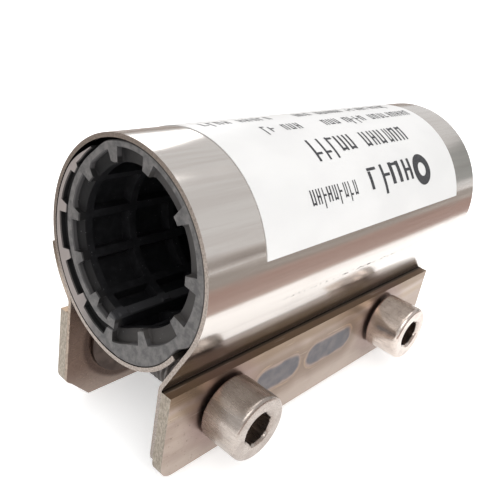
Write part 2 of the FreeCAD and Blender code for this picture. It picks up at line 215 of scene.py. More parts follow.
# ------------------------------------------------------------------ materials
def mat_band():
    m = Mat("bright_sheet_steel", 1.0, Anisotropic=0.35, Specular_IOR_Level=0.5)
    a = m.noise((0.018, 0.5, 0.5), 1.0, 4, 0.55)
    b = m.noise((0.05, 2.6, 2.6), 1.0, 5, 0.6, (3, 9, 1))
    fine = m.noise((0.12, 9.0, 9.0), 1.0, 4, 0.6, (7, 2, 5))
    # long streaks along the sheet: partly its rolling grain, partly painted reflection of the streaky surroundings
    col = m.mix(a.step(0.40, 0.66), (0.665, 0.625, 0.59), (0.615, 0.57, 0.535))
    col = m.mix(b.step(0.50, 0.74) * 0.35, col, (0.56, 0.51, 0.475))
    # painted shade: a faint brownish darkening low on the flare just above the bar, and a painted dark shadow line
    # in the crevice above it
    low = m.z.step(-19.9, -22.0) * m.y.step(-5, -9)
    col = m.mix(low * 0.12, col, (0.52, 0.42, 0.33))
    crevice_shadow = ((m.z + a * 0.4).step(-19.95, -20.30) * m.z.step(-22.0, -21.3) * m.y.step(-5, -9)
               * m.ny.step(0.2, -0.2) * m.x.step(43.0, 42.4))
    col = m.mix(crevice_shadow * 0.92, col, (0.035, 0.028, 0.024))
    # scuff marks in a line below the label
    line = (m.z + 5.9 + m.x * 0.010).abs().step(0.36, 0.10)
    dash = m.noise((0.75, 0.3, 2.2), 1.0, 4, 0.8, (4.5, 0, 0)).step(0.535, 0.575)
    span = m.x.step(-27, -22) * m.x.step(24, 10) * m.y.step(-10, -14)
    upper = (m.z + 1.55).abs().step(0.30, 0.08) * m.noise((1.3, 0.3, 2.2), 1.0, 4, 0.8).step(0.60, 0.64)
    mark = line * dash * span + upper * m.x.step(-14, -10) * m.x.step(4, 0) * m.y.step(-10, -14)
    col = m.mix(mark * 0.9, col, (0.06, 0.055, 0.05))
    # a few handling smudges
    smudge = m.noise((0.07, 0.12, 0.12), 1.0, 4, 0.55, (1, 4, 2), 0.1).step(0.52, 0.80)
    col = m.mix(smudge * 0.22, col, (0.52, 0.49, 0.465))
    m.color(col)
    m.rough((b * 0.08 + 0.10) + smudge * 0.10 + mark * 0.3 + low * 0.08 + crevice_shadow * 0.3)
    m.bump((m.noise((0.010, 0.11, 0.11), 1.0, 2, 0.5, (5, 0, 0)), 0.22, 0.50), (fine, 0.07, 0.010))
    return m.m


def mat_edge():
    m = Mat("cut_sheet_edge", 1.0)
    n = m.noise((3, 3, 3), 1.0, 4, 0.6)
    m.color(m.mix(n.step(0.35, 0.65), (0.37, 0.32, 0.285), (0.24, 0.205, 0.18)))
    m.rough(n * 0.2 + 0.32)
    m.bump((n, 0.25, 0.05),)
    return m.m


def mat_rim_highlight():
    """The rounded corners of the cut edge, given a light colour as a painted highlight."""
    m = Mat("sheet_rim_painted_highlight", 1.0)
    n = m.noise((1.6, 1.6, 1.6), 1.0, 4, 0.6)
    m.color(m.mix(n.step(0.38, 0.68), (0.80, 0.765, 0.735), (0.56, 0.52, 0.485)))
    m.rough(n * 0.12 + 0.20)
    m.bump((n, 0.12, 0.02),)
    return m.m


WELDS = ((-15.6, 7.3 - 3.1), (2.0, 8.5 - 3.1))
WELD_Z = CZ - 26.7


def mat_bar(name, front=True):
    m = Mat(name, 1.0, Anisotropic=0.2)
    side, ga, gb = (1.0, -12.35, -12.10) if front else (-1.0, -15.75, -15.50)
    grain = m.noise((0.10, 3.2, 3.2), 1.0, 5, 0.6)
    wide = m.noise((0.025, 0.25, 0.25), 1.0, 3, 0.5, (2, 3, 4))
    cloud = m.noise((0.12, 0.12, 0.16), 1.0, 4, 0.55, (9, 1, 6))
    patch = m.noise((0.16, 0.16, 0.20), 1.0, 5, 0.6, (3, 7, 2))
    col = m.mix(wide.step(0.38, 0.66), (0.415, 0.335, 0.285), (0.345, 0.27, 0.22))
    col = m.mix(patch.step(0.46, 0.66) * 0.5, col, (0.285, 0.215, 0.185))
    # straw-gold heat line along the upper part of the face
    top = (m.z + cloud * 1.5).step(-23.0, -21.4)
    col = m.mix(top * 0.85, col, (0.235, 0.165, 0.105))
    gold = (m.z + 24.3 + cloud * 1.6).abs().step(1.3, 0.2)
    col = m.mix(gold * 0.45, col, (0.36, 0.27, 0.175))
    low = (m.z + cloud * 2.0).step(-31.5, -36.0)
    col = m.mix(low * 0.6, col, (0.46, 0.385, 0.335))
    # heat tint round each slot weld: pinkish rim, then mauve-brown halo
    for xc, half in WELDS:
        d = capsule(m, xc, half, WELD_Z) + (cloud - 0.5) * 1.6
        col = m.mix(d.step(7.5, 3.2) * 0.85, col, (0.215, 0.155, 0.115))
        rim = (d - 3.45).abs().step(0.32, 0.06)
        col = m.mix(rim * patch.step(0.46, 0.62) * 0.7, col, (0.42, 0.31, 0.22))
    # mauve wipe between the near screw and the bar's end
    for xs in (-30.8, 23.2):
        dx, dz = m.x - xs, m.z - WELD_Z
        r = (dx.sq() + dz.sq()).sqrt() + (cloud - 0.5) * 3.0
        col = m.mix(r.step(11.5, 6.5) * 0.7, col, (0.255, 0.175, 0.158))
    spots = m.noise((1.6, 1.6, 1.6), 1.0, 3, 0.7).step(0.62, 0.70) * (m.x + cloud * 8.0).step(-26, -36)
    col = m.mix(spots * 0.55, col, (0.16, 0.12, 0.105))
    lines = m.noise((0.18, 1.0, 4.2), 1.0, 4, 0.75, (0, 0, 6)).step(0.60, 0.66) * patch.step(0.40, 0.60)
    col = m.mix(lines * 0.5, col, (0.19, 0.145, 0.12))
    rubs = m.noise((0.10, 1.0, 2.4), 1.0, 3, 0.6, (5, 0, 1)).step(0.60, 0.72)
    col = m.mix(rubs * 0.45, col, (0.50, 0.425, 0.36))
    # sheared ends, speckled and dull
    end = m.nx.abs().step(0.75, 0.95)
    speck = m.noise((2.2, 2.2, 1.1), 1.0, 4, 0.7)
    col = m.mix(end, col, m.mix(speck.step(0.38, 0.64), (0.25, 0.215, 0.175), (0.40, 0.355, 0.30)))
    # painted shade: the contact shadow in the crevice between the bar's upper edge and the sheet, painted dark on
    # the rear of the bar's top face
    groove_shadow = (m.y * side + cloud * 0.5).step(ga, gb) * m.nz.step(0.3, 0.8) * m.z.step(-30, -26)
    col = m.mix(groove_shadow * 0.75, col, (0.05, 0.038, 0.03))
    m.color(col)
    m.rough(grain * 0.16 + 0.24 + end * 0.22 + spots * 0.2)
    m.bump((wide, 0.20, 0.25), (grain, 0.10, 0.02), (speck * end, 0.35, 0.10))
    return m.m


def mat_weld():
    m = Mat("slot_weld", 1.0)
    fine = m.noise((1.1, 1.1, 1.1), 1.0, 4, 0.6)
    wide = m.noise((0.25, 0.3, 0.35), 1.0, 3, 0.5)
    col = m.mix(wide.step(0.35, 0.65), (0.118, 0.114, 0.124), (0.165, 0.152, 0.155))
    for xc, half in WELDS:
        d = capsule(m, xc, half, WELD_Z) + (wide - 0.5) * 1.2
        ring = d.step(2.1, 3.0) * d.step(3.9, 3.3)
        col = m.mix(ring * 0.7, col, (0.40, 0.295, 0.24))
    m.color(col)
    m.rough(fine * 0.16 + 0.32)
    m.bump((wide, 0.15, 0.15), (fine, 0.08, 0.02))
    return m.m


def mat_strap():
    m = Mat("tinted_strap_steel", 1.0, Anisotropic=0.15)
    grain = m.noise((0.6, 1.2, 1.2), 1.0, 4, 0.5)
    wide = m.noise((0.05, 0.07, 0.07), 1.0, 2, 0.45, (5, 5, 0))
    low = m.z.step(-14.0, -20.0)
    col = m.mix(wide.step(0.35, 0.65), (0.70, 0.655, 0.61), (0.645, 0.59, 0.54))
    leg = m.mix(wide.step(0.3, 0.7), (0.215, 0.15, 0.12), (0.165, 0.11, 0.086))
    leg = m.mix((m.z + wide * 4.0).step(-30.0, -39.0) * 0.75, leg, (0.40, 0.325, 0.28))
    for xs in (-30.8, 23.2):
        dx, dz = m.x - xs, m.z - WELD_Z
        rr = (dx.sq() + dz.sq()).sqrt() + (wide - 0.5) * 2.5
        leg = m.mix((rr - 10.0).abs().step(1.4, 0.3) * 0.85, leg, (0.085, 0.055, 0.045))
    col = m.mix(low, col, leg)
    # sheared edges are brown
    cut = m.nx.abs().step(0.75, 0.95)
    col = m.mix(cut * 0.9, col, m.mix(grain.step(0.4, 0.6), (0.32, 0.255, 0.20), (0.23, 0.18, 0.14)))
    # a row of resistance-weld spots where it is joined to the band
    sx = (m.x / 9.0)
    fx = sx.op("FRACT") - 0.5
    r = ((fx * 9.0).sq() + ((m.z + 11.6) * 1.2).sq()).sqrt()
    spot = r.step(1.7, 1.2) * m.ny.step(0.2, 0.5)
    halo = r.step(3.2, 1.4) * m.ny.step(0.2, 0.5)
    col = m.mix(halo * 0.5, col, (0.46, 0.34, 0.24))
    col = m.mix(spot * 0.6, col, (0.42, 0.41, 0.43))
    m.color(col)
    m.rough(grain * 0.06 + 0.24)
    m.bump((wide, 0.12, 0.30), (r.step(1.8, 1.3) * m.ny.step(0.2, 0.5) * -1.0, 0.5, 0.10), (grain, 0.03, 0.01))
    return m.m


def mat_screw(name, xc, lit_gain_and_polish):
    m = Mat(name, 1.0, Anisotropic=0.15)
    dx, dz = m.x - xc, m.z - WELD_Z
    r = (dx.sq() + dz.sq()).sqrt()
    turn = m.noise((0.25, 3.4, 0.25), 1.0, 5, 0.65)
    scr = m.noise((3.4, 0.30, 3.4), 1.0, 5, 0.7, (2, 0, 8))
    blot = m.noise((0.3, 0.3, 0.3), 1.0, 3, 0.5)
    # painted light: the base colour is scaled by the screw's gain, making the far screw a lit, lighter copy of the
    # same steel; the gain also lowers the roughness
    col = m.mix(blot.step(0.38, 0.64), tuple(c * lit_gain_and_polish for c in (0.50, 0.445, 0.405)),
                tuple(c * lit_gain_and_polish for c in (0.41, 0.355, 0.32)))
    col = m.mix(scr.step(0.50, 0.66) * 0.45, col, (0.29, 0.245, 0.215))
    # the thread is painted near-black, and its tip is left lighter
    shank = r.step(4.6, 4.2) * m.y.step(-15.0, -14.0)
    col = m.mix(shank * 0.9, col, (0.105, 0.10, 0.10))
    tip = r.step(4.6, 4.2) * m.y.step(15.5, 17.5)
    col = m.mix(tip * 0.9, col, m.mix(scr.step(0.4, 0.65), (0.44, 0.40, 0.365), (0.30, 0.27, 0.245)))
    # painted shade: the inside of the hex socket is painted darker
    deep = r.step(3.6, 3.2) * m.y.step(-22.65, -22.2) * m.y.step(-17.0, -17.8)
    col = m.mix(deep * 0.6, col, (0.22, 0.18, 0.155))
    m.color(col)
    m.rough(scr * 0.14 + (0.36 - lit_gain_and_polish * 0.16) + shank * 0.10)
    m.bump((blot, 0.20, 0.30), (scr, 0.25, 0.03), (turn, 0.15, 0.02))
    return m.m


def mat_bush():
    m = Mat("bush_steel_turned", 1.0)
    n = m.noise((2.0, 0.3, 2.0), 1.0, 5, 0.65)
    w = m.noise((0.3, 0.3, 0.3), 1.0, 3, 0.5)
    col = m.mix(w.step(0.4, 0.6), (0.27, 0.215, 0.185), (0.20, 0.155, 0.13))
    col = m.mix(n.step(0.55, 0.7) * 0.4, col, (0.17, 0.14, 0.125))
    # painted shade: the flange between the legs is painted dark, for the shaded space between the legs
    col = m.mix(m.y.step(14.75, 14.3) * 0.85, col, m.mix(w.step(0.35, 0.65), (0.115, 0.085, 0.073), (0.07, 0.052, 0.046)))
    m.color(col)
    m.rough(n * 0.18 + 0.24)
    m.bump((n, 0.25, 0.03), (w, 0.15, 0.2))
    return m.m


def mat_rubber():
    m = Mat("ribbed_rubber", 0.0, Specular_IOR_Level=0.18)
    dust = m.noise((0.6, 0.6, 0.6), 1.0, 5, 0.65)
    grit = m.noise((4.5, 4.5, 4.5), 1.0, 3, 0.6)
    col = m.mix(dust.step(0.40, 0.68), (0.0055, 0.0055, 0.0065), (0.011, 0.011, 0.0125))
    # the bore stays black; painted light and shade: the first cross rib and the pockets' mouths are painted
    # lighter on the -y side and near-black on the +y side
    near = m.x.abs().step(43.0, 44.2)
    r = (m.y.sq() + m.z.sq()).sqrt()
    rib_lit_and_shaded = m.mix((m.y + dust * 4.0).step(8.0, -4.0), (0.011, 0.0105, 0.0105), (0.062, 0.057, 0.054))
    col = m.mix(near * 0.9, col, rib_lit_and_shaded)
    ledge = m.x.abs().step(43.95, 44.25) * r.step(14.7, 15.1) * r.step(16.9, 16.6)
    col = m.mix(ledge * 0.8, col, (0.075, 0.072, 0.073))
    # the square ends are the dustiest, and the outer lap's most of all
    end = m.nx.abs().step(0.5, 0.9) * m.x.abs().step(44.4, 44.8)
    face = m.mix(dust.step(0.35, 0.65), (0.078, 0.075, 0.075), (0.142, 0.135, 0.131))
    lap = (r + dust * 0.8).step(17.4, 18.0) * m.y.step(5.0, 13.0)
    face = m.mix(lap * 0.8, face, (0.305, 0.265, 0.25))
    col = m.mix(end * 0.96, col, face)
    # the lip where the inner lap begins, seen along the bore
    lip = (m.y - 2.3).abs().step(1.3, 0.7) * m.z.step(-14.3, -14.0) * m.z.step(-12.7, -12.95)
    col = m.mix(lip * 0.9, col, (0.040, 0.040, 0.043))
    speck = m.voronoi((1, 1, 1), 1.4).step(0.16, 0.08) * dust.step(0.52, 0.62)
    col = m.mix(speck * 0.35, col, (0.22, 0.22, 0.23))
    m.color(col)
    m.rough(dust * 0.12 + 0.62 - end * 0.14)
    m.bump((dust, 0.25, 0.12), (grit, 0.18, 0.03))
    return m.m


def mat_label():
    m = Mat("label_film", 0.0, Coat_Weight=0.25, Coat_Roughness=0.25, Specular_IOR_Level=0.4)
    w = m.noise((0.05, 0.08, 0.08), 1.0, 3, 0.5)
    f = m.noise((2, 2, 2), 1.0, 3, 0.6)
    m.color(m.mix(w.step(0.35, 0.65), (0.745, 0.74, 0.732), (0.705, 0.70, 0.694)))
    m.rough(f * 0.08 + 0.36)
    m.bump((w, 0.20, 0.15), (f, 0.08, 0.01))
    return m.m


def mat_ink():
    m = Mat("label_ink", 0.0, Specular_IOR_Level=0.35)
    f = m.noise((3, 3, 3), 1.0, 4, 0.6)
    m.color(m.mix(f.step(0.4, 0.7), (0.030, 0.030, 0.034), (0.065, 0.065, 0.07)))
    m.rough(f * 0.1 + 0.42)
    m.bump((f, 0.10, 0.01),)
    return m.m


def mat_floor():
    m = Mat("pale_floor", 0.0, Specular_IOR_Level=0.15)
    n = m.noise((0.01, 0.01, 0.01), 1.0, 2, 0.5)
    m.color(m.mix(n, (0.93, 0.93, 0.93), (0.95, 0.95, 0.95)))
    m.rough(0.85)
    m.b.inputs["Emission Color"].default_value = (1, 1, 1, 1)
    m.b.inputs["Emission Strength"].default_value = 0.46
    return m.m


# ------------------------------------------------------------------ mesh helpers
def mesh_object(name, verts, faces, mats, face_mats=None, sharp=35.0):
    me = bpy.data.meshes.new(name)
    me.from_pydata([(x * MM, y * MM, z * MM) for x, y, z in verts], [], faces)
    me.validate()
    ob = bpy.data.objects.new(name, me)
    scene.collection.objects.link(ob)
    for mt in mats:
        me.materials.append(mt)
    if face_mats is not None:
        me.polygons.foreach_set("material_index", face_mats)
    bm = bmesh.new()
    bm.from_mesh(me)
    bmesh.ops.recalc_face_normals(bm, faces=bm.faces)
    bm.to_mesh(me)
    bm.free()
    me.polygons.foreach_set("use_smooth", [True] * len(me.polygons))
    me.set_sharp_from_angle(angle=math.radians(sharp))
    return ob


def bevel(ob, width, segments=2, angle=35.0):
    b = ob.modifiers.new("edge", "BEVEL")
    b.width = width * MM
    b.segments = segments
    b.limit_method = "ANGLE"
    b.angle_limit = math.radians(angle)
    b.harden_normals = True
    return b


def flex(ob):
    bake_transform(ob)
    return ob


def frange(a, b, step):
    n = max(1, int(math.ceil(abs(b - a) / step)))
    return [a + (b - a) * i / n for i in range(n + 1)]


# ------------------------------------------------------------------ band
def band_line():
    """Mid-surface of the sheet as (y, z, outward normal y, z), from the tongue's
    free end round to the foot of the front leg."""
    al = math.radians(27.0)
    R, T, leg = 20.0, 0.8, -13.0
    out = []
    for d in frange(209.5, 270.0, 2.0):
        c, s = math.cos(math.radians(d)), math.sin(math.radians(d))
        out.append((16.76 * c, -2.84 + 16.76 * s, c, s))
    for d in frange(270.0, 567.0, 2.0)[1:]:
        c, s = math.cos(math.radians(d)), math.sin(math.radians(d))
        out.append((19.6 * c, 19.6 * s, c, s))
    bz = -((R + leg * math.cos(al)) / math.sin(al))
    reach = 1.6 * math.tan(al / 2)
    ny, nz = -math.cos(al), -math.sin(al)
    a = (-19.6 * math.cos(al), -19.6 * math.sin(al))
    fe = (leg - reach * math.sin(al) - ny * 0.4, bz + reach * math.cos(al) - nz * 0.4)
    for i in range(1, 9):
        t = i / 8.0
        out.append((a[0] + (fe[0] - a[0]) * t, a[1] + (fe[1] - a[1]) * t, ny, nz))
    bc = (leg - 1.6, bz - reach)
    for i in range(1, 7):
        d = al * (1 - i / 6.0)
        c, s = math.cos(d), math.sin(d)
        out.append((bc[0] + 2.0 * c, bc[1] + 2.0 * s, -c, -s))
    z0 = bz - reach
    for z in frange(z0, -38.9, 0.9)[1:]:
        out.append((leg + 0.4, z, -1.0, 0.0))
    return [(y + CY, z + CZ, a, b) for y, z, a, b in out]


def build_band(sheet, edge, rim):
    line = band_line()
    xs = [-45.0] + frange(-44.4, 44.4, 2.4) + [45.0]
    foot = -38.9 + CZ
    verts, faces, fm = [], [], []

    def limit(z, y):
        if y < -9.0 and z < foot + 5.4:
            return 45.0 - (5.4 - (z - foot))
        return 45.0

    n, k = len(line), len(xs)
    for side in (0.4, -0.4):
        for y, z, ny, nz in line:
            f = limit(z, y) / 45.0
            for x in xs:
                verts.append((x * f, y + ny * side, z + nz * side))
    off = n * k
    for i in range(n - 1):
        for j in range(k - 1):
            q = (i * k + j, i * k + j + 1, (i + 1) * k + j + 1, (i + 1) * k + j)
            faces.append(q)
            fm.append(0)
            faces.append(tuple(v + off for v in reversed(q)))
            fm.append(0)
    for i in range(n - 1):
        for j in (0, k - 1):
            faces.append((i * k + j, (i + 1) * k + j, (i + 1) * k + j + off, i * k + j + off))
            fm.append(1)
    for j in range(k - 1):
        for i in (0, n - 1):
            faces.append((i * k + j, i * k + j + 1, i * k + j + 1 + off, i * k + j + off))
            fm.append(1)
    ob = mesh_object("band_sheet", verts, faces, [sheet, edge, rim], fm)
    for i, x in enumerate((-30.8, 23.2)):
        bpy.ops.mesh.primitive_cylinder_add(vertices=48, radius=4.5 * MM, depth=6 * MM,
                                            location=(x * MM, (CY - 12.6) * MM, WELD_Z * MM),
                                            rotation=(math.pi / 2, 0, 0))
        tool = bpy.context.object
        mod = ob.modifiers.new("hole", "BOOLEAN")
        mod.operation, mod.solver, mod.object = "DIFFERENCE", "EXACT", tool
        dg = bpy.context.evaluated_depsgraph_get()
        me = bpy.data.meshes.new_from_object(ob.evaluated_get(dg))
        ob.modifiers.clear()
        ob.data = me
        bpy.data.objects.remove(tool)
    ob.data.name = "band_sheet"
    ob.data.polygons.foreach_set("use_smooth", [True] * len(ob.data.polygons))
    ob.data.set_sharp_from_angle(angle=math.radians(35))
    # the bevel carries the painted highlight material on the cut edge's corners
    bevel(ob, 0.14, 2, 50).material = 2
    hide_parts("band")
    return flex(ob)


# ------------------------------------------------------------------ gasket
RB, TG = 13.45, 3.5
SHELL = 19.05
RIBS = [-80.5, -60.0, -29.0, 1.5, 37.5, 69.0, 100.0, 137.6, 175.7, 208.4, 247.7, 279.4, 306.7,
        333.7, 361.5, 389.0]
A_END, A_TIP = -84.0, 410.0


def shell_radius(deg, rad):
    c, s = math.cos(math.radians(deg)), math.sin(math.radians(deg))
    b = CY * c + CZ * s
    return b + math.sqrt(rad ** 2 - CY ** 2 - CZ ** 2 + b * b)


def hermite(xs, ys, x):
    if x <= xs[0]:
        return ys[0]
    if x >= xs[-1]:
        return ys[-1]
    i = max(k for k in range(len(xs)) if xs[k] <= x)
    i = min(i, len(xs) - 2)

    def slope(k):
        if k == 0 or k == len(xs) - 1:
            return 0.0 if k == 0 else (ys[-1] - ys[-2]) / (xs[-1] - xs[-2]) * 0.5
        return (ys[k + 1] - ys[k - 1]) / (xs[k + 1] - xs[k - 1])
    h = xs[i + 1] - xs[i]
    t = (x - xs[i]) / h
    return ((2 * t ** 3 - 3 * t ** 2 + 1) * ys[i] + (t ** 3 - 2 * t ** 2 + t) * h * slope(i)
            + (-2 * t ** 3 + 3 * t ** 2) * ys[i + 1] + (t ** 3 - t ** 2) * h * slope(i + 1))


CL = [236.0, 250.0, 262.0, 270.0, 278.0, 288.0, 300.0]


def ease(t):
    t = min(1.0, max(0.0, t))
    return t * t * (3 - 2 * t)


def inner_r(d):
    """The rib tips: round the pipe, then stepping out to pass beneath the inner lap's start."""
    swell = 0.55 * (1 - ease(abs(d - 84.0) / 48.0))
    return RB + swell + hermite(CL, [0, 0.10, 0.85, 1.9, 2.95, 3.55, 3.68], d)


def tongue_radius(deg):
    """The inner face of the band's free end, from the pipe axis."""
    c, s = math.cos(math.radians(deg)), math.sin(math.radians(deg))
    yc, zc = CY, CZ - 2.84
    b = yc * c + zc * s
    return b + math.sqrt(16.28 ** 2 - yc ** 2 - zc ** 2 + b * b)


def outer_r(d):
    if d < 50:
        return RB + TG - 0.8 * (1 - ease((d + 84.0) / 16.0))
    if d < 272:
        full = shell_radius(d, 19.12) - 0.4 * (1 - ease((d - 58.0) / 34.0))
        full += (tongue_radius(d) - full) * ease((d - 208.0) / 14.0)
        return RB + TG + (full - RB - TG) * ease((d - 50.0) / 18.0)
    return shell_radius(d, SHELL)


def pocket(d, thick):
    """How deep the hollows between the ribs are."""
    limit = 2.0 + 0.5 * ease((d - 45.0) / 35.0) - 0.5 * ease((d - 270.0) / 15.0)
    return min(limit, max(0.35, thick - 1.10))


def outer_gap(d):
    """A little slack behind the thinned tip of the outer lap, where it lifts off the band."""
    return 0.5 * min(1.0, max(0.0, (d - 388.0) / 16.0))


def rib_u(d):
    """1 on a lengthwise rib, 0 between ribs."""
    r = inner_r(d)
    best = 0.0
    for c in RIBS:
        dist = abs(math.radians(d - c)) * (r + 1.0)
        best = max(best, min(1.0, max(0.0, (1.15 - dist) / 0.35)))
    return best


def rib_x(x):
    best = 0.0
    for c in XRIBS:
        dist = abs(x - c)
        best = max(best, min(1.0, max(0.0, (1.10 - dist) / 0.35)))
    return best


XRIBS = [-42.9 + i * (85.8 / 9.0) for i in range(10)]


def build_gasket(rubber):
    us = set(frange(A_END, A_TIP, 3.0))
    for c in RIBS:
        for r_off in (0.80, 1.15):
            for s in (-1, 1):
                a = c + s * math.degrees(r_off / (inner_r(c) + 1.0))
                if A_END < a < A_TIP:
                    us.add(a)
    us = sorted(us)
    keep = [us[0]]
    for u in us[1:]:
        if u - keep[-1] > 0.35:
            keep.append(u)
    us = keep
    xs = {-45.0, -44.8, 44.8, 45.0}
    for c in XRIBS:
        for o in (-1.10, -0.75, 0.75, 1.10):
            xs.add(round(c + o, 4))
        if c < 40:
            xs.add(round(c + 4.75, 4))
    xs = sorted(xs)
    verts, faces = [], []
    n, k = len(us), len(xs)

    def put(r, d, x):
        a = math.radians(d)
        verts.append((x, r * math.cos(a), r * math.sin(a)))

    for d in us:
        ri, ro = inner_r(d), outer_r(d) - outer_gap(d)
        deep = pocket(d, ro - ri)
        for x in xs:
            h = max(rib_u(d), rib_x(x))
            inset = 0.16 if abs(x) > 44.9 else 0.0
            put(ri + deep * (1 - h) + inset, d, x)
    off = n * k
    for d in us:
        ro = outer_r(d) - outer_gap(d)
        for x in xs:
            inset = 0.16 if abs(x) > 44.9 else 0.0
            put(ro - inset, d, x)
    for i in range(n - 1):
        for j in range(k - 1):
            q = (i * k + j, i * k + j + 1, (i + 1) * k + j + 1, (i + 1) * k + j)
            faces.append(q)
            faces.append(tuple(v + off for v in reversed(q)))
    for i in range(n - 1):
        for j in (0, k - 1):
            faces.append((i * k + j, (i + 1) * k + j, (i + 1) * k + j + off, i * k + j + off))
    for j in range(k - 1):
        for i in (0, n - 1):
            faces.append((i * k + j, i * k + j + 1, i * k + j + 1 + off, i * k + j + off))
    ob = mesh_object("gasket_ribbed", verts, faces, [rubber], None, 28)
    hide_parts("gasket")
    return flex(ob)


# ------------------------------------------------------------------ label
LABEL_R = 20.02
LX0, LX1 = -32.2, 35.4


def on_label(x, up, lift):
    """A point on the label: up is the angle above the horizontal on the front."""
    a = math.radians(180.0 - up)
    r = LABEL_R + lift
    return (x, CY + r * math.cos(a), CZ + r * math.sin(a))


def patch(verts, faces, x0, x1, u0, u1, lift, step=2.0, slant=0.0):
    """A small curved patch of print."""
    us = frange(u0, u1, step)
    base = len(verts)
    for i, u in enumerate(us):
        s = slant * i / (len(us) - 1)
        verts.append(on_label(x0 + s, u, lift))
        verts.append(on_label(x1 + s, u, lift))
    for i in range(len(us) - 1):
        b = base + 2 * i
        faces.append((b, b + 1, b + 3, b + 2))


def disc(verts, faces, xc, uc, rx, hole, lift):
    base = len(verts)
    per = math.degrees(1.0 / LABEL_R)
    seg = 40
    for i in range(seg):
        t = 2 * math.pi * i / seg
        verts.append(on_label(xc + rx * math.cos(t), uc + rx * math.sin(t) * per, lift))
        verts.append(on_label(xc + hole * math.cos(t), uc + hole * math.sin(t) * per, lift))
    for i in range(seg):
        a, b = base + 2 * i, base + 2 * ((i + 1) % seg)
        faces.append((a, b, b + 1, a + 1))


def words(verts, faces, x0, x1, u0, u1, pitch, fill, seed, gaps=()):
    """A line of neutral blocks standing in for print, read from +X to -X."""
    rnd = random.Random(seed)
    x = x1
    span = u1 - u0
    while x - pitch > x0:
        if any(a < x - pitch / 2 < b for a, b in gaps):
            x -= pitch
            continue
        w = pitch * fill * rnd.uniform(0.75, 1.1)
        kind = rnd.random()
        lo_, hi_ = u0 + span * 0.25, u0 + span
        if kind < 0.16:
            lo_ = u0
        elif kind < 0.24:
            hi_ = u0 + span * 0.85
            lo_ = u0 + span * 0.25
        # each block is two upright strokes and a cross stroke
        t = w * 0.30
        patch(verts, faces, x - w, x - w + t, lo_, hi_, 0.150)
        if kind > 0.35:
            patch(verts, faces, x - t, x, u0 + span * 0.25, u0 + span, 0.150)
        mid = u0 + span * rnd.choice((0.33, 0.62, 0.92))
        th = span * 0.10
        patch(verts, faces, x - w, x, mid - th / 2, mid + th / 2, 0.151)
        x -= pitch
    return


def build_label(film, ink):
    lift_top = 0.12
    xs = frange(LX0, LX1, 3.0)
    us = frange(14.0, 118.0, 2.0)
    verts, faces = [], []
    n, k = len(us), len(xs)
    for lift in (0.0, lift_top):
        for u in us:
            for x in xs:
                verts.append(on_label(x, u, lift))
    off = n * k
    for i in range(n - 1):
        for j in range(k - 1):
            q = (i * k + j, i * k + j + 1, (i + 1) * k + j + 1, (i + 1) * k + j)
            faces.append(q)
            faces.append(tuple(v + off for v in reversed(q)))
        for j in (0, k - 1):
            faces.append((i * k + j, (i + 1) * k + j, (i + 1) * k + j + off, i * k + j + off))
    for j in range(k - 1):
        for i in (0, n - 1):
            faces.append((i * k + j, i * k + j + 1, i * k + j + 1 + off, i * k + j + off))
    ob = mesh_object("label_sheet", verts, faces, [film], None, 40)
    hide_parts("label")
    flex(ob)
    v, f = [], []
    disc(v, f, 20.6, 37.0, 3.4, 1.5, 0.150)
    words(v, f, -1.8, 16.4, 28.5, 45.5, 4.4, 0.84, 3)
    words(v, f, -21.0, -4.8, 30.0, 40.5, 1.62, 0.72, 8)
    words(v, f, -13.0, 21.5, 54.0, 68.5, 2.85, 0.70, 5, gaps=((2.0, 4.9),))
    words(v, f, -20.5, -8.0, 76.5, 85.0, 1.9, 0.70, 11, gaps=((-15.5, -13.8),))
    words(v, f, -2.0, 33.0, 76.5, 85.0, 1.9, 0.70, 12, gaps=((14.5, 16.2), (4.6, 6.4)))
    words(v, f, -30.0, -11.0, 91.5, 99.5, 1.85, 0.70, 14, gaps=((-22.0, -20.4),))
    words(v, f, -6.0, 31.0, 91.5, 99.5, 1.85, 0.70, 15, gaps=((12.0, 13.8), (2.0, 3.9)))
    pr = mesh_object("label_print", v, f, [ink], None, 60)
    flex(pr)


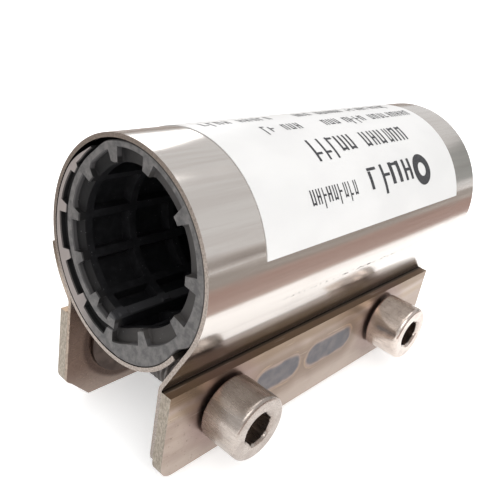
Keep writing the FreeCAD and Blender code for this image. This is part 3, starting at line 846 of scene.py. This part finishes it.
# ------------------------------------------------------------------ screws
def build_screw(name, node, body, xc, mat, turn):
    """Socket head, hex recess and rolled thread, as one turned mesh."""
    N = 72
    face = -22.72
    back = face + 8.0
    hexr = 3.0
    rings = []

    def circle(r, y):
        rings.append([(r * math.cos(2 * math.pi * i / N), y, r * math.sin(2 * math.pi * i / N)) for i in range(N)])

    def hexa(af2, y):
        pts = []
        for i in range(N):
            a = 2 * math.pi * i / N
            q = (math.degrees(a) - turn) % 60.0 - 30.0
            r = af2 / math.cos(math.radians(q))
            pts.append((r * math.cos(a), y, r * math.sin(a)))
        rings.append(pts)

    circle(0.02, face + 5.6)
    circle(1.6, face + 5.0)
    hexa(hexr - 0.02, face + 4.55)
    hexa(hexr, face + 4.4)
    for t in (3.0, 1.6, 0.75):
        hexa(hexr, face + t)
    hexa(hexr + 0.03, face + 0.42)
    circle(3.62, face + 0.10)
    circle(3.80, face + 0.02)
    circle(3.95, face)
    circle(4.8, face)
    circle(5.55, face)
    for i in range(6):
        a = math.radians(90 * i / 5.0)
        circle(5.72 + 0.78 * math.sin(a), face + 0.78 * (1 - math.cos(a)))
    for t in (1.2, 2.5, 4.0, 5.5, 6.8, 7.55):
        circle(6.5, face + t)
    circle(6.5, back - 0.22)
    circle(6.42, back - 0.06)
    circle(6.25, back)
    circle(5.0, back)
    circle(4.35, back)
    circle(4.05, back + 0.25)
    circle(3.95, back + 0.8)
    verts, faces = [], []
    for ring in rings:
        verts += ring
    # thread: a ridge that climbs one pitch a turn, right-handed towards the tip
    P, major, minor = 1.25, 3.98, 3.30
    y0, y1 = back + 1.1, back + 45.0
    steps = int((y1 - y0) / P * 10)
    for s in range(steps + 1):
        y = y0 + (y1 - y0) * s / steps
        fade = min(1.0, (y - y0) / 1.2)
        chamfer = max(0.0, y - (y1 - 0.95))
        for i in range(N):
            a = 2 * math.pi * i / N
            ph = ((y / P) + a / (2 * math.pi)) % 1.0
            tri = abs(ph - 0.5) * 2.0
            prof = min(1.0, max(0.0, (tri - 0.16) / 0.66))
            r = minor + (major - minor) * (1 - (1 - prof) * fade)
            r = min(r, major - chamfer * 0.9)
            verts.append((r * math.cos(a), y, r * math.sin(a)))
    rows = len(verts) // N
    for r in range(rows - 1):
        for i in range(N):
            j = (i + 1) % N
            faces.append((r * N + i, r * N + j, (r + 1) * N + j, (r + 1) * N + i))
    faces.append(tuple(range((rows - 1) * N, rows * N)))
    faces.append(tuple(reversed(range(N))))
    verts = [(x + xc, y, z + WELD_Z) for x, y, z in verts]
    ob = mesh_object(name, verts, faces, [mat], None, 38)
    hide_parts(node)
    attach(ob, body)
    return ob


# ------------------------------------------------------------------ assemble
build_band(mat_band(), mat_edge(), mat_rim_highlight())
build_gasket(mat_rubber())
build_label(mat_label(), mat_ink())
build_screw("cap_screw_near_detailed", "cap_screw_near", "screw_near", -30.8,
            mat_screw("screw_steel_near", -30.8, 0.95), 12.0)
# the far screw's larger gain is painted light: a lit copy of the near screw's steel
build_screw("cap_screw_far_detailed", "cap_screw_far", "screw_far", 23.2,
            mat_screw("screw_steel_far", 23.2, 1.4), 40.0)

finish = {
    "rear_strap": (mat_strap(), 0.12),
    "front_bar": (mat_bar("heat_tinted_bar"), 0.22),
    "rear_bar": (mat_bar("heat_tinted_rear_bar", False), 0.22),
    "front_slot_welds": (mat_weld(), 0.0),
    "threaded_bush_near": (mat_bush(), 0.2),
}
finish["rear_slot_welds"] = finish["front_slot_welds"]
finish["threaded_bush_far"] = finish["threaded_bush_near"]
for node, (mat, width) in finish.items():
    ob = nodes[node]
    ob.data.materials.clear()
    ob.data.materials.append(mat)
    if width:
        bevel(ob, width, 3, 40)

# ------------------------------------------------------------------ stage and light
FLOOR = (CZ - 38.9) * MM - 0.00002
bpy.ops.mesh.primitive_plane_add(size=18.0, location=(0, 0, FLOOR))
floor = bpy.context.object
floor.name = "studio_floor"
floor.data.materials.append(mat_floor())


def card(name, corners, color, other, strength=1.0):
    """A reflector with streaks in it that only shows in glossy reflections."""
    me = bpy.data.meshes.new(name)
    me.from_pydata([(x * MM, y * MM, z * MM) for x, y, z in corners], [], [(0, 1, 2, 3)])
    ob = bpy.data.objects.new(name, me)
    scene.collection.objects.link(ob)
    mt = bpy.data.materials.new(name)
    mt.use_nodes = True
    nt = mt.node_tree
    nt.nodes.clear()
    o, e = nt.nodes.new("ShaderNodeOutputMaterial"), nt.nodes.new("ShaderNodeEmission")
    t, mp = nt.nodes.new("ShaderNodeTexCoord"), nt.nodes.new("ShaderNodeMapping")
    mp.inputs["Scale"].default_value = (2.5, 22.0, 22.0)
    no, rp = nt.nodes.new("ShaderNodeTexNoise"), nt.nodes.new("ShaderNodeValToRGB")
    no.inputs["Scale"].default_value = 1.0
    no.inputs["Detail"].default_value = 3.0
    rp.color_ramp.elements[0].position, rp.color_ramp.elements[0].color = 0.40, (*color, 1)
    rp.color_ramp.elements[1].position, rp.color_ramp.elements[1].color = 0.62, (*other, 1)
    nt.links.new(t.outputs["Object"], mp.inputs["Vector"])
    nt.links.new(mp.outputs[0], no.inputs["Vector"])
    nt.links.new(no.outputs["Fac"], rp.inputs[0])
    nt.links.new(rp.outputs[0], e.inputs[0])
    e.inputs[1].default_value = strength
    nt.links.new(e.outputs[0], o.inputs[0])
    me.materials.append(mt)
    ob.visible_camera = False
    ob.visible_diffuse = False
    ob.visible_shadow = False
    ob.visible_transmission = False
    return ob


Z0 = FLOOR / MM
card("brown_table_card", [(-60, -51, Z0 + 2), (700, -51, Z0 + 2), (700, -124, Z0 + 2), (-60, -124, Z0 + 2)],
     (0.47, 0.325, 0.285), (0.62, 0.48, 0.43))
card("grey_table_card", [(-60, -124, Z0 + 2), (1200, -124, Z0 + 2), (1200, -520, Z0 + 2), (-60, -520, Z0 + 2)],
     (0.36, 0.325, 0.30), (0.66, 0.62, 0.58))
card("horizon_card", [(-500, -900, Z0), (1600, -900, Z0), (1600, -900, 130), (-500, -900, 130)],
     (0.36, 0.325, 0.305), (0.62, 0.58, 0.55))
card("rear_table_card", [(-700, 60, Z0 + 2), (1400, 60, Z0 + 2), (1400, 900, Z0 + 2), (-700, 900, Z0 + 2)],
     (0.40, 0.345, 0.31), (0.62, 0.57, 0.53))
card("rear_wall_card", [(1560, 220, Z0), (240, 1540, Z0), (240, 1540, 185), (1560, 220, 185)],
     (0.34, 0.29, 0.26), (0.50, 0.45, 0.41))
card("side_card", [(900, -520, 60), (900, 60, 60), (900, 60, 380), (900, -520, 380)],
     (0.36, 0.38, 0.375), (0.46, 0.47, 0.46))


def area(name, loc, target, size, power, color=(1, 1, 1)):
    li = bpy.data.lights.new(name, "AREA")
    li.shape = "RECTANGLE"
    li.size, li.size_y = size[0] * MM, size[1] * MM
    li.energy = power
    li.color = color
    ob = bpy.data.objects.new(name, li)
    scene.collection.objects.link(ob)
    ob.location = Vector(loc) * MM
    ob.rotation_mode = "QUATERNION"
    ob.rotation_quaternion = (Vector(target) * MM - ob.location).to_track_quat("-Z", "Y")
    return ob


area("key_softbox", (-260, -360, 420), (0, 0, -10), (420, 300), 1.0, (1.0, 0.985, 0.965))
area("top_softbox", (60, 60, 520), (0, 0, 0), (520, 360), 0.9, (1.0, 0.99, 0.98))
area("rear_softbox", (240, 420, 260), (0, 0, 0), (300, 260), 0.5, (0.985, 0.99, 1.0))

world = bpy.data.worlds.new("studio")
scene.world = world
world.use_nodes = True
nt = world.node_tree
nt.nodes.clear()
wo, bg = nt.nodes.new("ShaderNodeOutputWorld"), nt.nodes.new("ShaderNodeBackground")
tc, sp = nt.nodes.new("ShaderNodeTexCoord"), nt.nodes.new("ShaderNodeSeparateXYZ")
cr = nt.nodes.new("ShaderNodeValToRGB")
nt.links.new(tc.outputs["Generated"], sp.inputs[0])
nt.links.new(sp.outputs[2], cr.inputs[0])
cr.color_ramp.elements[0].position = 0.0
cr.color_ramp.elements[0].color = (0.98, 0.98, 0.98, 1)
cr.color_ramp.elements[1].position = 0.8
cr.color_ramp.elements[1].color = (0.90, 0.90, 0.905, 1)
nt.links.new(cr.outputs[0], bg.inputs[0])
bg.inputs[1].default_value = 0.88
# the backdrop itself is plain white
back, lp, sw = (nt.nodes.new(k) for k in ("ShaderNodeBackground", "ShaderNodeLightPath", "ShaderNodeMixShader"))
back.inputs[0].default_value = (1.0, 1.0, 1.0, 1)
back.inputs[1].default_value = 1.05
nt.links.new(lp.outputs["Is Camera Ray"], sw.inputs[0])
nt.links.new(bg.outputs[0], sw.inputs[1])
nt.links.new(back.outputs[0], sw.inputs[2])
nt.links.new(sw.outputs[0], wo.inputs[0])

# ------------------------------------------------------------------ camera
pos = Vector((-104.18, -70.74, 46.00))
look = Vector((10.07, 18.65, -21.55))
fwd = (look - pos).normalized()
right = fwd.cross(Vector((0, 0, 1))).normalized()
up = right.cross(fwd)
roll = math.radians(10.54)
r2 = right * math.cos(roll) + up * math.sin(roll)
u2 = -right * math.sin(roll) + up * math.cos(roll)
cam = bpy.data.cameras.new("camera")
cam.sensor_width = 36.0
cam.lens = 45.64
cam.clip_start, cam.clip_end = 0.005, 20.0
cam.dof.use_dof = False
cam_ob = bpy.data.objects.new("camera", cam)
scene.collection.objects.link(cam_ob)
m = Matrix.Identity(4)
for i, col in enumerate((r2, u2, -fwd)):
    for j in range(3):
        m[j][i] = col[j]
m.translation = pos * MM
cam_ob.matrix_world = m
scene.camera = cam_ob
scene.view_settings.view_transform = "Standard"
scene.view_settings.look = "None"
scene.view_settings.exposure = 0.0
